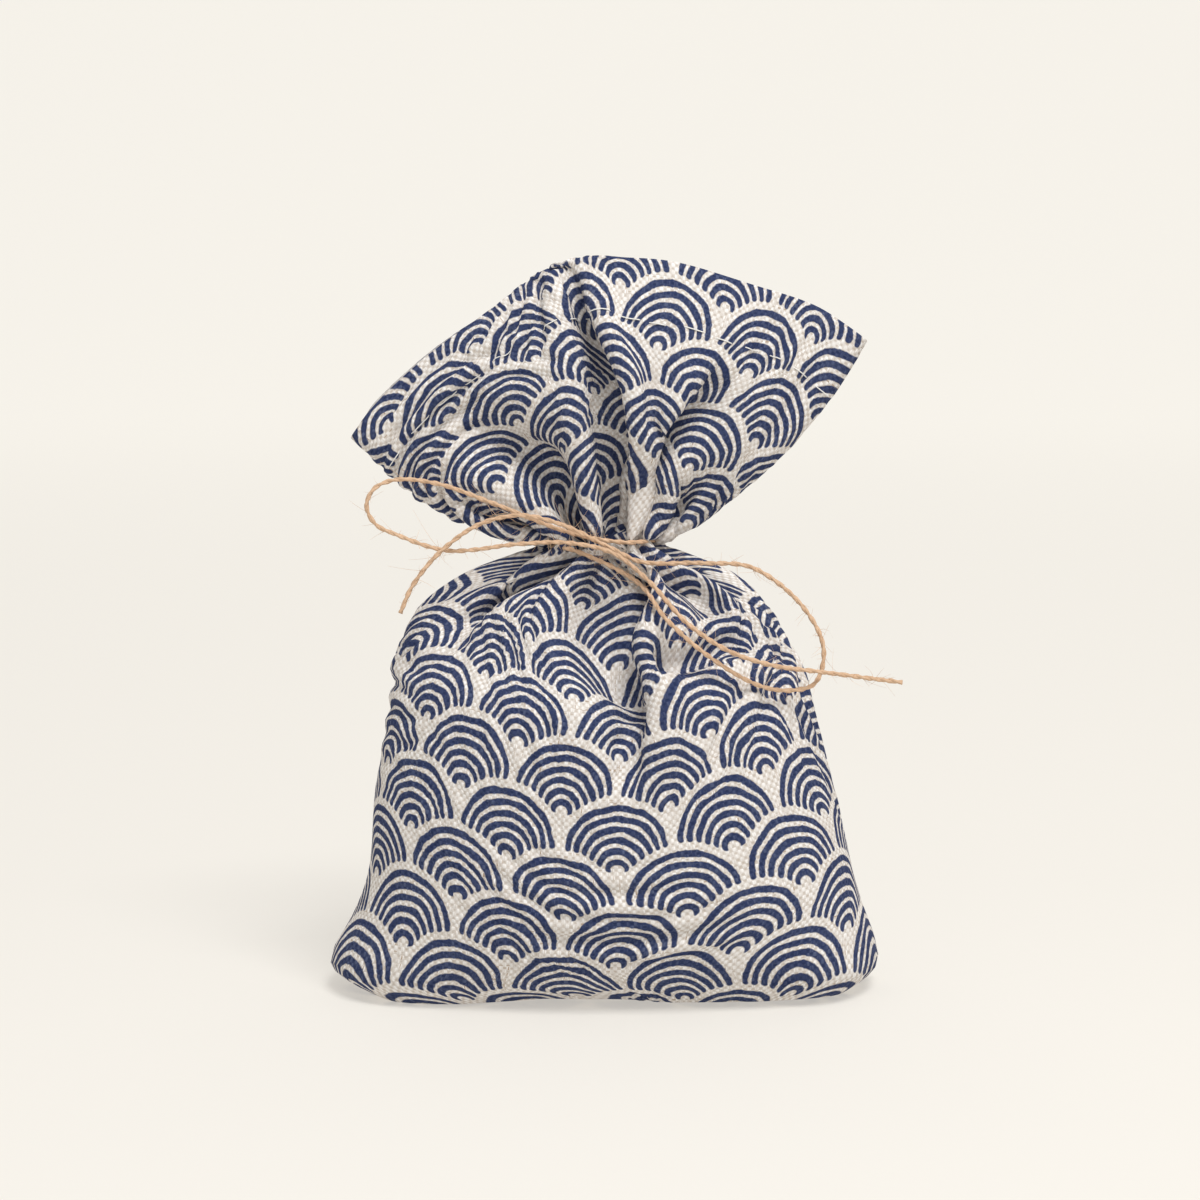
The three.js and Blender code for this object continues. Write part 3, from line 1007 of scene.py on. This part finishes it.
def rod_rings(middle: Array, side: Array, other: Array, size: Array | float, around: Array) -> Array:
    """Rings round a line: its middle plus the size times (cosine side plus sine other).

    Args:
        middle: Points of one or more lines.
        side: A unit direction square to the line at each point.
        other: The direction square to both.
        size: The rod's radius.
        around: Angles of a ring's corners.

    Returns:
        An array with one more axis than the middle, for the corners.
    """
    circle = np.cos(around)[:, None] * side[..., None, :] + np.sin(around)[:, None] * other[..., None, :]
    return middle[..., None, :] + size * circle


def tube_mesh(name: str, rings: Array, uv: Array) -> bpy.types.Object:
    """Makes a mesh from rings of points, with a fan to a middle point at each end.

    Args:
        name: The piece's name.
        rings: Rings by points by 3, in metres.
        uv: Rings by points plus one by 2, the surface's own coordinates.
    """
    count, around = rings.shape[:2]
    row, column = np.meshgrid(np.arange(count - 1), np.arange(around), indexing="ij")
    low, high = row * around, (row + 1) * around
    right = (column + 1) % around
    quads = np.stack([low + column, low + right, high + right, high + column], -1).reshape(-1, 4)
    step = np.arange(around)
    after = (step + 1) % around
    top = (count - 1) * around
    foot_fan = np.stack([after, step, np.full(around, count * around)], -1)
    top_fan = np.stack([top + step, top + after, np.full(around, count * around + 1)], -1)
    vertices = np.concatenate([rings.reshape(-1, 3), rings[:1].mean(1), rings[-1:].mean(1)])
    piece = add_piece(name, vertices, quads.tolist() + foot_fan.tolist() + top_fan.tolist())
    corners = [uv[row, column], uv[row, column + 1], uv[row + 1, column + 1], uv[row + 1, column]]
    foot_uv = np.stack([uv[0, 1:], uv[0, :-1], uv[0, :-1] * (1, 0)], 1)
    top_uv = np.stack([uv[-1, :-1], uv[-1, 1:], uv[-1, :-1] * (1, 0) + (0, INSIDE_MARK)], 1)
    flat = np.concatenate([part.reshape(-1, 2) for part in (np.stack(corners, -2), foot_uv, top_uv)])
    piece.data.uv_layers.new(name=UV_MAP).data.foreach_set("uv", flat.astype(np.float32).ravel())
    return piece


def join_pieces(name: str, pieces: list) -> bpy.types.Object:
    """Joins meshes with the same layers into one object."""
    for piece in bpy.context.selected_objects:
        piece.select_set(False)
    for piece in pieces:
        piece.select_set(True)
    bpy.context.view_layer.objects.active = pieces[0]
    bpy.ops.object.join()
    joined = bpy.context.view_layer.objects.active
    joined.name = name
    joined.data.name = name
    return joined


def stand_for(piece: bpy.types.Object, node: str) -> None:
    """Ties a piece to the part's one body and hides the CAD node that it stands for."""
    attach(piece, "root")
    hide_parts(node)


Value = "Field | float"


class Field:
    """A shader value or vector with ordinary arithmetic, so that a pattern reads as a formula."""

    def __init__(self, tree: bpy.types.NodeTree, socket: bpy.types.NodeSocket | None) -> None:
        """Wraps one output socket of a node tree, or none, to start from."""
        self.tree = tree
        self.socket = socket

    def apply(self, kind: str, settings: dict, inputs: dict, output: int | str = 0) -> "Field":
        """Adds one node of any kind, feeds it and returns one of its outputs.

        Args:
            kind: The node's type.
            settings: Its properties.
            inputs: What goes into its sockets, by number or name: a number, a tuple or a field.
            output: Which output to return.
        """
        node = self.tree.nodes.new(kind)
        for name, value in settings.items():
            setattr(node, name, value)
        for name, value in inputs.items():
            if isinstance(value, Field):
                self.tree.links.new(value.socket, node.inputs[name])
            else:
                node.inputs[name].default_value = value
        return Field(self.tree, node.outputs[output])

    def maths(self, operation: str, *values: Value) -> "Field":
        """Returns the result of one step of arithmetic."""
        return self.apply("ShaderNodeMath", {"operation": operation}, dict(enumerate(values)))

    def __add__(self, other: Value) -> "Field":
        """Returns the sum."""
        return self.maths("ADD", self, other)

    def __radd__(self, other: Value) -> "Field":
        """Returns the sum."""
        return self.maths("ADD", other, self)

    def __sub__(self, other: Value) -> "Field":
        """Returns the difference."""
        return self.maths("SUBTRACT", self, other)

    def __rsub__(self, other: Value) -> "Field":
        """Returns the difference the other way."""
        return self.maths("SUBTRACT", other, self)

    def __mul__(self, other: Value) -> "Field":
        """Returns the product."""
        return self.maths("MULTIPLY", self, other)

    def __rmul__(self, other: Value) -> "Field":
        """Returns the product."""
        return self.maths("MULTIPLY", other, self)

    def __truediv__(self, other: Value) -> "Field":
        """Returns the quotient."""
        return self.maths("DIVIDE", self, other)

    def __rtruediv__(self, other: Value) -> "Field":
        """Returns the quotient the other way."""
        return self.maths("DIVIDE", other, self)

    def __neg__(self) -> "Field":
        """Returns the value with its sign turned."""
        return self.maths("MULTIPLY", self, -1.0)

    def __abs__(self) -> "Field":
        """Returns the size without its sign."""
        return self.maths("ABSOLUTE", self)

    def __lt__(self, other: Value) -> "Field":
        """Returns 1 where this is less, otherwise 0."""
        return self.maths("LESS_THAN", self, other)

    def __gt__(self, other: Value) -> "Field":
        """Returns 1 where this is greater, otherwise 0."""
        return self.maths("GREATER_THAN", self, other)

    def floor(self) -> "Field":
        """Returns the whole number below."""
        return self.maths("FLOOR", self)

    def sine(self) -> "Field":
        """Returns the sine."""
        return self.maths("SINE", self)

    def root(self) -> "Field":
        """Returns the square root, with 0 for negative numbers."""
        return self.maths("SQRT", self.least(0.0))

    def least(self, value: Value) -> "Field":
        """Returns the greater of this and the value."""
        return self.maths("MAXIMUM", self, value)

    def most(self, value: Value) -> "Field":
        """Returns the smaller of this and the value."""
        return self.maths("MINIMUM", self, value)

    def share(self) -> "Field":
        """Returns this kept between 0 and 1."""
        return self.least(0.0).most(1.0)

    def ramp(self, low: float, high: float) -> "Field":
        """Returns 0 below low, 1 above high and a straight ramp between them."""
        return ((self - low) / (high - low)).share()

    def centred(self, period: float) -> "Field":
        """Returns the distance to the nearest multiple of the period, with its sign."""
        return self - (self / period + 0.5).floor() * period

    def between(self, low: Value, high: Value) -> "Field":
        """Returns low where this is 0, high where it is 1 and a blend in between."""
        return low + (high - low) * self

    def part(self, axis: int) -> "Field":
        """Returns one coordinate of a vector."""
        return self.apply("ShaderNodeSeparateXYZ", {}, {0: self}, axis)

    def vector(self, x: Value, y: Value, z: Value = 0.0) -> "Field":
        """Returns a vector of three numbers or fields."""
        return self.apply("ShaderNodeCombineXYZ", {}, {0: x, 1: y, 2: z})

    def noise(self, scale: float, detail: float = 2.0, roughness: float = 0.5) -> "Field":
        """Returns a smooth noise between 0 and 1 read at this vector."""
        inputs = {"Vector": self, "Scale": scale, "Detail": detail, "Roughness": roughness}
        return self.apply("ShaderNodeTexNoise", {}, inputs, "Fac")

    def colour(self, low: "Field | tuple", high: "Field | tuple") -> "Field":
        """Returns a colour from low to high as this goes from 0 to 1; either may be a field."""
        inputs = {0: self}
        for socket, value in ((6, low), (7, high)):
            inputs[socket] = value if isinstance(value, Field) else (*value, 1.0)
        return self.apply("ShaderNodeMix", {"data_type": "RGBA"}, inputs, 2)


class Finish:
    """A material in the making: its tree, its shader and the values that go into it."""

    def __init__(self, name: str) -> None:
        """Starts a material with a matt shader."""
        self.material = bpy.data.materials.new(name)
        self.material.use_nodes = True
        self.tree = self.material.node_tree
        self.shader = self.tree.nodes["Principled BSDF"]
        self.start = Field(self.tree, None)

    def source(self, kind: str, output: str, **settings: str) -> Field:
        """Returns one output of a new input node."""
        return self.start.apply(kind, settings, {}, output)

    def send(self, **inputs: "Field | float | tuple") -> None:
        """Sets or links the shader's inputs, named with low lines for blanks."""
        for name, value in inputs.items():
            socket = self.shader.inputs[name.replace("_", " ")]
            if isinstance(value, Field):
                self.tree.links.new(value.socket, socket)
            elif isinstance(value, tuple):
                socket.default_value = (*value, 1.0)
            else:
                socket.default_value = value

    def relief(self, height: Field, depth: float, strength: float) -> None:
        """Gives the shader a fine relief of the height times the depth in metres."""
        inputs = {"Height": height, "Distance": depth, "Strength": strength}
        normal = self.start.apply("ShaderNodeBump", {}, inputs)
        self.tree.links.new(normal.socket, self.shader.inputs["Normal"])


@dataclass(frozen=True)
class CanvasFinish:
    """Plain-woven canvas with rows of hand-drawn overlapping waves, in the flat cloth's millimetres.

    Attributes:
        grid: Where the waves stand.
        ring: Radius of a wave's outer stroke.
        edge: Radius within which a wave covers the row behind.
        ring_drop: How much lower each inner ring's centre is.
        ring_shrink: How much smaller each inner ring is.
        stroke_leg: Half width of a stroke at its foot.
        stroke_top: What is added to it at its top.
        cell: Width and height of the weave's cell.
        edge_room: How far before the next wave's edge a stroke ends.
        foot_drop: How far under its centre the outer ring's feet reach.
        foot_rise: How much higher each inner ring's feet end.
        last_ring: The ring number past which a wave has no stroke.
        soft_edge: Width of a stroke's soft edge.
        wobble: How far the strokes stray from their formula.
        ink, ink_worn: Colours of the print, full and worn on a raised thread.
        cloth, cloth_light, fleck: Colours of the bare threads and of a few browner ones.
        gap, gap_ink_shade: Colours of the painted shade between the threads, on bare and on printed cloth.
    """

    grid: PrintGrid
    ring: float = 10.0
    edge: float = 12.2
    ring_drop: float = 0.72
    ring_shrink: float = 1.65
    stroke_leg: float = 0.58
    stroke_top: float = 0.16
    cell: tuple = (0.77, 0.80)
    edge_room: float = 0.12
    foot_drop: float = 0.7
    foot_rise: float = 0.14
    last_ring: float = 5.5
    soft_edge: float = 0.22
    wobble: float = 1.3
    ink: tuple = (0.033, 0.047, 0.118)
    ink_worn: tuple = (0.09, 0.112, 0.20)
    cloth: tuple = (0.70, 0.655, 0.61)
    cloth_light: tuple = (0.96, 0.945, 0.93)
    fleck: tuple = (0.47, 0.36, 0.27)
    # Painted shade between the threads, on bare cloth and on print.
    gap: tuple = (0.40, 0.315, 0.24)
    gap_ink_shade: tuple = (0.014, 0.022, 0.065)

    def waves(self, s: Field, t: Field, swell: Field) -> Field:
        """The print: 1 on a stroke and 0 on bare cloth.

        Scales stand in rows half a pitch apart, each row over the one above it. Inside a scale the
        rings' centres drop and their radii shrink by steady steps, so a ring's number k solves
        x squared plus (y + drop k) squared = (ring - shrink k) squared. A stroke is where k is
        close to a whole number, and it ends in a round cap before the next scale's edge.

        Args:
            s: Flat coordinate across, in millimetres.
            t: Flat coordinate up, in millimetres.
            swell: Change of the stroke's half width, in millimetres.
        """
        grid = self.grid
        rim = self.edge - self.ring
        row = -(-(t - (grid.first_top + rim)) / grid.row_gap).floor()
        odd = row - (row * 0.5).floor() * 2.0
        y_near = t - grid.first_top - row * grid.row_gap + self.ring
        x_near = (s - grid.first_middle + odd * (grid.pitch / 2)).centred(grid.pitch)
        x_other = (x_near + grid.pitch / 2).centred(grid.pitch)
        reach_near = (x_near * x_near + y_near * y_near).root()
        y_low = y_near + grid.row_gap
        reach_low = (x_other * x_other + y_low * y_low).root()
        inside = reach_near < self.edge
        x = inside.between(x_other, x_near)
        y = inside.between(y_near - grid.row_gap, y_near)
        beyond = inside.between(reach_near, reach_low) - self.edge
        square = self.ring_shrink**2 - self.ring_drop**2
        half = y * self.ring_drop + self.ring * self.ring_shrink
        rest = self.ring**2 - x * x - y * y
        k = (half - (half * half - rest * square).root()) / square
        upright = (y + k * self.ring_drop) / (self.ring - k * self.ring_shrink).least(0.4)
        gap = self.ring_shrink + self.ring_drop * upright
        width = self.stroke_leg + self.stroke_top * upright.share() + swell
        across = abs(k.centred(1.0)) * gap
        under = k * self.foot_rise - self.foot_drop - y - k * self.ring_drop
        past = (width + self.edge_room - beyond).least(under).least(0.0)
        away = (across * across + past * past).root()
        return ((width - away) / self.soft_edge + 0.5).share() * (k > -0.5) * (k < self.last_ring)

    def make(self, name: str) -> bpy.types.Material:
        """Builds the material: the weave is sine times sine, and each thread has its own tone."""
        finish = Finish(name)
        uv = finish.source("ShaderNodeUVMap", "UV", uv_map=UV_MAP)
        s = uv.part(0) * 1000.0
        t = uv.part(1) * 1000.0
        plane = uv.vector(s, t)
        stray = plane.noise(0.16, 1.0) - 0.5
        sway = plane.vector(t, s, 7.0).noise(0.16, 1.0) - 0.5
        swell = (plane.noise(0.42, 2.0) - 0.5) * 0.5
        across = (s * (math.pi / self.cell[0])).sine()
        up = (t * (math.pi / self.cell[1])).sine()
        weave = across * up
        thread = weave * 0.36 + abs(weave).root() * 0.24 + 0.40
        warp = plane.vector(s * 1.56, t * 0.12).noise(1.0, 2.0)
        weft = plane.vector(s * 0.12, t * 1.56, 3.0).noise(1.0, 2.0)
        tone = (weave > 0.0).between(weft, warp)
        grain = thread * 0.16 - 0.09
        outside = t < INSIDE_MARK / MM / 2
        mark = self.waves(s + stray * self.wobble, t + sway * self.wobble, swell + grain) * outside
        bare = tone.ramp(0.36, 0.62).colour(self.cloth, self.cloth_light)
        bare = tone.ramp(0.60, 0.72).colour(bare, self.fleck)
        printed = tone.ramp(0.42, 0.70).colour(self.ink, self.ink_worn)
        colour = mark.colour(bare, printed)
        # Painted shade: where the threads dip between each other, the colour goes most of the way to these
        # darker gap colours.
        between = mark.colour(self.gap, self.gap_ink_shade)
        colour = (thread.ramp(0.26, 0.58) * 0.66 + 0.34).colour(between, colour)
        finish.send(Base_Color=colour, Roughness=0.95, Specular_IOR_Level=0.1)
        finish.relief(thread + (tone - 0.5) * 0.8, 0.00016, 0.75)
        return finish.material


@dataclass(frozen=True)
class JuteFinish:
    """Golden tan jute, streaked along its fibres."""

    dark: tuple = (0.46, 0.28, 0.165)
    pale: tuple = (0.85, 0.61, 0.42)

    def make(self, name: str, shift: float) -> bpy.types.Material:
        """Builds the material.

        Args:
            name: The material's name.
            shift: Share of the pale colour to add everywhere.
        """
        finish = Finish(name)
        uv = finish.source("ShaderNodeUVMap", "UV", uv_map=UV_MAP)
        streak = uv.vector(uv.part(0) * 900.0, uv.part(1) * 5.0).noise(1.0, 3.0, 0.6)
        patch = uv.vector(uv.part(0) * 120.0, uv.part(1)).noise(1.0, 2.0)
        tone = (streak * 0.7 + patch * 0.5 - 0.6) * 1.6 + 0.5 + shift
        colour = tone.share().colour(self.dark, self.pale)
        finish.send(Base_Color=colour, Roughness=0.85, Specular_IOR_Level=0.2)
        finish.relief(streak, 0.00012, 0.7)
        return finish.material


@dataclass(frozen=True)
class Twine:
    """Thin two-ply jute twine, wound round the neck and tied in a bow, in millimetres.

    Attributes:
        diameter: The twine's.
        tie_height: Height of the tie above the floor.
        neck_half: Half the neck's width and depth.
        clearance: Between the neck and the turn round it.
        turn_start: Angle where the turn round the neck starts.
        turn_opening: Angle left open at its front.
        turn_climb: How far it climbs.
        turn_points: How many points it has, less one.
        left_tail, right_loop, left_loop, right_tail: Points of the bow, listed one by one, with their
        heights measured from the tie.
        strand: A ply's mean radius.
        apart: From the twine's middle to a ply's.
        twist: Length of one turn of the plies.
        step: From one ring of the mesh to the next.
        hair_count: How many stray fibres are tried.
        hair_rings: Rings of a fibre.
        hair_angles: Angles of its corners.
        hair_radius: Its radius at its root.
    """

    diameter: float = 1.1
    tie_height: float = 94.1
    neck_half: tuple = (9.5, 7.0)
    clearance: float = 0.75
    turn_start: float = -2.19
    turn_opening: float = 1.05
    turn_climb: float = 1.6
    turn_points: int = 14
    left_tail: tuple = (
        (-41.3, -13.0, -13.1), (-38.8, -12.6, -7.6), (-33.6, -12.2, -1.1), (-25.4, -12.0, 4.9),
        (-17.0, -12.0, 6.9), (-8.6, -11.9, 5.1),
    )
    right_loop: tuple = (
        (1.6, -10.9, 0.1), (8.0, -11.6, -2.7), (20.0, -12.0, -2.9), (30.6, -12.6, -3.8),
        (40.9, -13.6, -11.7), (45.1, -15.0, -20.1), (43.4, -16.4, -26.9), (39.0, -18.0, -28.2),
        (32.0, -20.6, -26.9), (21.6, -23.6, -20.5), (13.0, -22.4, -13.1), (7.2, -14.9, -6.5),
    )
    left_loop: tuple = (
        (-3.0, -9.4, 2.1), (-9.6, -10.2, 4.1), (-21.3, -9.6, 8.7), (-33.8, -9.2, 13.1),
        (-42.1, -9.2, 13.9), (-46.6, -9.3, 12.1), (-48.2, -9.5, 8.5), (-46.4, -9.7, 4.8),
        (-42.1, -10.0, 2.7), (-31.7, -10.6, -0.5), (-17.2, -11.2, 0.9), (-7.6, -11.9, 1.3),
    )
    right_tail: tuple = (
        (2.0, -12.6, -0.7), (9.4, -17.4, -5.9), (16.8, -22.4, -13.5), (24.6, -24.6, -18.7),
        (33.6, -21.8, -22.3), (46.0, -17.6, -24.7), (61.2, -15.0, -27.1),
    )
    strand: float = 0.34
    apart: float = 0.17
    twist: float = 5.0
    step: float = 0.3
    hair_count: int = 1000
    hair_rings: int = 6
    hair_angles: tuple = (0.0, 2.1, 4.2)
    hair_radius: float = 0.045

    def route(self) -> Array:
        """The middle line at even steps, along a centripetal Catmull-Rom curve through the points.

        Between two points it is the cubic with the curve's two slopes, and the turn round the neck
        is an ellipse that climbs evenly.
        """
        stand = self.diameter / 2 + self.clearance
        share = np.linspace(0, 1, self.turn_points + 1)
        angle = self.turn_start - share * (2 * math.pi - self.turn_opening)
        turn = np.stack([
            (self.neck_half[0] + stand) * np.cos(angle),
            (self.neck_half[1] + stand) * np.sin(angle),
            (share - 0.5) * self.turn_climb,
        ], -1)
        points = np.concatenate([self.left_tail, self.right_loop, turn, self.left_loop, self.right_tail])
        points = points + np.array([0, 0, self.tie_height])
        points = np.concatenate([[2 * points[0] - points[1]], points, [2 * points[-1] - points[-2]]])
        a, b, c, d = points[:-3], points[1:-2], points[2:-1], points[3:]
        pairs = ((a, b), (b, c), (c, d))
        first, second, third = (np.sqrt(np.linalg.norm(v - u, axis=1, keepdims=True)) for u, v in pairs)
        start = ((b - a) / first - (c - a) / (first + second) + (c - b) / second) * second
        end = ((c - b) / second - (d - b) / (second + third) + (d - c) / third) * second
        s = (np.arange(24) / 24)[None, :, None]
        square = 3 * (c - b) - 2 * start - end
        cube = 2 * (b - c) + start + end
        curve = b[:, None] + start[:, None] * s + square[:, None] * s**2 + cube[:, None] * s**3
        curve = np.concatenate([curve.reshape(-1, 3), points[-2:-1]])
        run = np.concatenate([[0], np.cumsum(np.linalg.norm(np.diff(curve, axis=0), axis=1))])
        even = np.linspace(0, run[-1], int(run[-1] / self.step) + 1)
        return np.stack([np.interp(even, run, curve[:, k]) for k in range(3)], -1)

    @staticmethod
    def frames(line: Array) -> tuple:
        """Returns two unit directions square to a line, which turn with it without twisting fast."""
        along = np.gradient(line, axis=0)
        along /= np.linalg.norm(along, axis=1, keepdims=True)
        side = np.zeros_like(line)
        side[0] = np.cross(along[0], (0.3, 0.2, 0.9))
        for k in range(1, len(line)):
            side[k] = side[k - 1] - (side[k - 1] @ along[k]) * along[k]
            side[k] /= np.linalg.norm(side[k])
        side[0] /= np.linalg.norm(side[0])
        return side, np.cross(along, side)

    def strands(self, name: str, line: Array) -> bpy.types.Object:
        """Makes the two plies, which twist round the line as helices and swell a little by sines.

        Args:
            name: The piece's name.
            line: The twine's middle line.
        """
        side, other = self.frames(line)
        run = np.arange(len(line)) * self.step
        around = np.linspace(0, 2 * math.pi, 9)[:-1]
        pieces = []
        for ply in (0, 1):
            angle = (2 * math.pi * run / self.twist + ply * math.pi)[:, None]
            lump = 1 + 0.10 * np.sin(run * 1.9 + ply) + 0.07 * np.sin(run * 4.7 + 2 * ply)
            middle = line + self.apart * (np.cos(angle) * side + np.sin(angle) * other)
            rings = rod_rings(middle, side, other, (self.strand * lump)[:, None, None], around)
            uv = np.zeros((len(line), len(around) + 1, 2))
            uv[..., 0] = run[:, None] * MM
            uv[..., 1] = np.linspace(0, 1, len(around) + 1)[None] + 2 * ply + run[:, None] / self.twist
            pieces.append(tube_mesh("ply", rings * MM, uv))
        return join_pieces(name, pieces)

    def hairs(self, name: str, line: Array, seed: int = 5) -> bpy.types.Object:
        """Makes the stray fibres, which leave the twine at a slant along bent lines.

        A fibre's line is a straight way plus a curl that grows with the square of the length, and
        it gets thinner towards its tip.

        Args:
            name: The piece's name.
            line: The twine's middle line.
            seed: Start of the random draws.
        """
        chance = np.random.default_rng(seed)
        side, other = self.frames(line)
        along = np.gradient(line, axis=0)
        along /= np.linalg.norm(along, axis=1, keepdims=True)
        start = chance.integers(5, len(line) - 5, self.hair_count)
        near_knot = np.abs(line[start, 0] + 12) < 16
        start = start[near_knot | (chance.random(self.hair_count) < 0.75)]
        count = len(start)
        angle = chance.random(count)[:, None] * 2 * math.pi
        away = np.cos(angle) * side[start] + np.sin(angle) * other[start]
        length = chance.gamma(2.0, 0.75, count).clip(0.5, 4.2)[:, None, None]
        lean = chance.normal(0, 1.1, count)[:, None]
        curl = chance.normal(0, 0.55, (count, 1, 3))
        s = np.linspace(0, 1, self.hair_rings)[None, :, None]
        way = away + along[start] * lean
        way /= np.linalg.norm(way, axis=1, keepdims=True)
        path = (line[start] + away * 0.3)[:, None] + (way[:, None] * s + curl * s**2) * length
        square = np.cross(way, away + 0.3)
        square /= np.linalg.norm(square, axis=1, keepdims=True)
        third = np.cross(way, square)
        thick = self.hair_radius * (1 - 0.6 * s)[..., None]
        rings = rod_rings(path, square[:, None], third[:, None], thick, np.array(self.hair_angles))
        sides = len(self.hair_angles)
        one = self.hair_rings * sides
        hair, ring, corner = np.meshgrid(
            np.arange(count), np.arange(self.hair_rings - 1), np.arange(sides), indexing="ij"
        )
        first = hair * one + ring * sides
        after = (corner + 1) % sides
        quads = np.stack([first + corner, first + after, first + sides + after, first + sides + corner], -1)
        root = np.arange(count)[:, None] * one
        tip = root + one - sides + np.arange(sides)
        faces = quads.reshape(-1, 4).tolist() + (root + np.arange(sides)[::-1]).tolist() + tip.tolist()
        piece = add_piece(name, rings.reshape(-1, 3) * MM, faces, smooth=False)
        piece.data.uv_layers.new(name=UV_MAP)
        LOG.info("%s: %d fibres", name, count)
        return piece

    def build(self) -> None:
        line = self.route()
        strands = self.strands("twine_strands", line)
        strands.data.materials.append(JuteFinish().make("jute_twine", 0.0))
        fibres = self.hairs("twine_fibres", line)
        fibres.data.materials.append(JuteFinish().make("jute_fibre", 0.25))
        for piece in (strands, fibres):
            stand_for(piece, "twine")


@dataclass(frozen=True)
class Studio:
    """A plain pale room: a floor that curves up into a wall, a soft main light and an even fill.

    Attributes:
        reach: How far the floor comes forward, in metres.
        half_width: Half its width.
        wall_at: Where the floor starts to curve up.
        curve: Radius of that curve.
        wall_top: Height of the wall.
        floor_colour: The paper's colour.
        glow_near, glow_far: Light that the paper gives of its own, near the pouch and far behind.
        glow_from, glow_to: Where it goes from the one to the other.
        sky, fill: Colour and strength of the even light.
        key_power, key_size, key_colour, key_place: The main light.
        key_aim: Where the main light points.
    """

    reach: float = 1.6
    half_width: float = 2.5
    wall_at: float = 1.2
    curve: float = 0.6
    wall_top: float = 3.0
    floor_colour: tuple = (0.42, 0.409, 0.384)
    glow_near: tuple = (0.445, 0.425, 0.395)
    glow_far: tuple = (0.60, 0.58, 0.54)
    glow_from: float = 0.1
    glow_to: float = 1.3
    sky: tuple = (1.0, 0.995, 0.985)
    fill: float = 0.50
    key_power: float = 14.5
    key_size: float = 0.6
    key_colour: tuple = (1.0, 0.99, 0.975)
    key_place: tuple = (0.30, -0.62, 1.25)
    key_aim: tuple = (0.0, 0.0, 0.08)

    def backdrop(self) -> None:
        """Makes the floor and wall: a flat floor, a quarter of a circle and an upright wall."""
        turn = np.linspace(0, math.pi / 2, 17)
        bend = np.stack([self.wall_at + self.curve * np.sin(turn), self.curve * (1 - np.cos(turn))], -1)
        rows = np.concatenate([[(-self.reach, 0.0)], bend, [(self.wall_at + self.curve, self.wall_top)]])
        left = np.insert(rows, 0, -self.half_width, axis=1)
        count = len(rows)
        faces = [(k, k + count, k + count + 1, k + 1) for k in range(count - 1)]
        piece = add_piece("backdrop", np.concatenate([left, left * np.array([-1, 1, 1])]), faces)
        finish = Finish("paper")
        place = finish.source("ShaderNodeTexCoord", "Object")
        glow = place.part(1).ramp(self.glow_from, self.glow_to).colour(self.glow_near, self.glow_far)
        finish.send(Base_Color=self.floor_colour, Roughness=1.0, Specular_IOR_Level=0.0)
        finish.send(Emission_Color=glow, Emission_Strength=1.0)
        piece.data.materials.append(finish.material)

    def build(self) -> None:
        """Makes the backdrop, the world and the light."""
        self.backdrop()
        world = bpy.data.worlds.new("world")
        world.use_nodes = True
        background = world.node_tree.nodes["Background"]
        background.inputs[0].default_value = (*self.sky, 1)
        background.inputs[1].default_value = self.fill
        bpy.context.scene.world = world
        lamp = bpy.data.lights.new("key", "AREA")
        lamp.energy = self.key_power
        lamp.size = self.key_size
        lamp.color = self.key_colour
        key = bpy.data.objects.new("key", lamp)
        bpy.context.scene.collection.objects.link(key)
        key.location = self.key_place
        key.rotation_euler = (Vector(self.key_aim) - key.location).to_track_quat("-Z", "Y").to_euler()
        bpy.context.scene.view_settings.view_transform = "Standard"
        LOG.info("studio: built")


def make_camera() -> None:
    """Makes the camera at the photograph's viewing angle."""
    view = Viewpoint()
    distance, elevation = view.distance * MM, math.radians(view.elevation)
    data = bpy.data.cameras.new("camera")
    data.sensor_width = SENSOR_WIDTH
    data.lens = SENSOR_WIDTH * distance / (PHOTO_SIZE * MM_PER_PIXEL * MM)
    camera = bpy.data.objects.new("camera", data)
    bpy.context.scene.collection.objects.link(camera)
    back = Vector((0, -math.cos(elevation), math.sin(elevation)))
    camera.location = Vector(view.look) * MM + distance * back
    camera.rotation_euler = (math.pi / 2 - elevation, 0, 0)
    bpy.context.scene.camera = camera


def main() -> None:
    """Builds the whole picture."""
    logging.basicConfig(level=logging.INFO, format="%(message)s")
    make_camera()
    Twine().build()
    cloth = PouchCloth()
    points = ClothSettler(cloth).settle(FormHold(cloth, cloth.pleated_form()))
    sewn = ClothShell(cloth).build("pouch_cloth", points)
    stitches = HemStitches(cloth).build("hem_stitches", points)
    for piece in (sewn, stitches):
        stand_for(piece, "pouch")
        LOG.info("%s: %d faces", piece.name, len(piece.data.polygons))
    Studio().build()


if __name__ == "__main__":
    main()
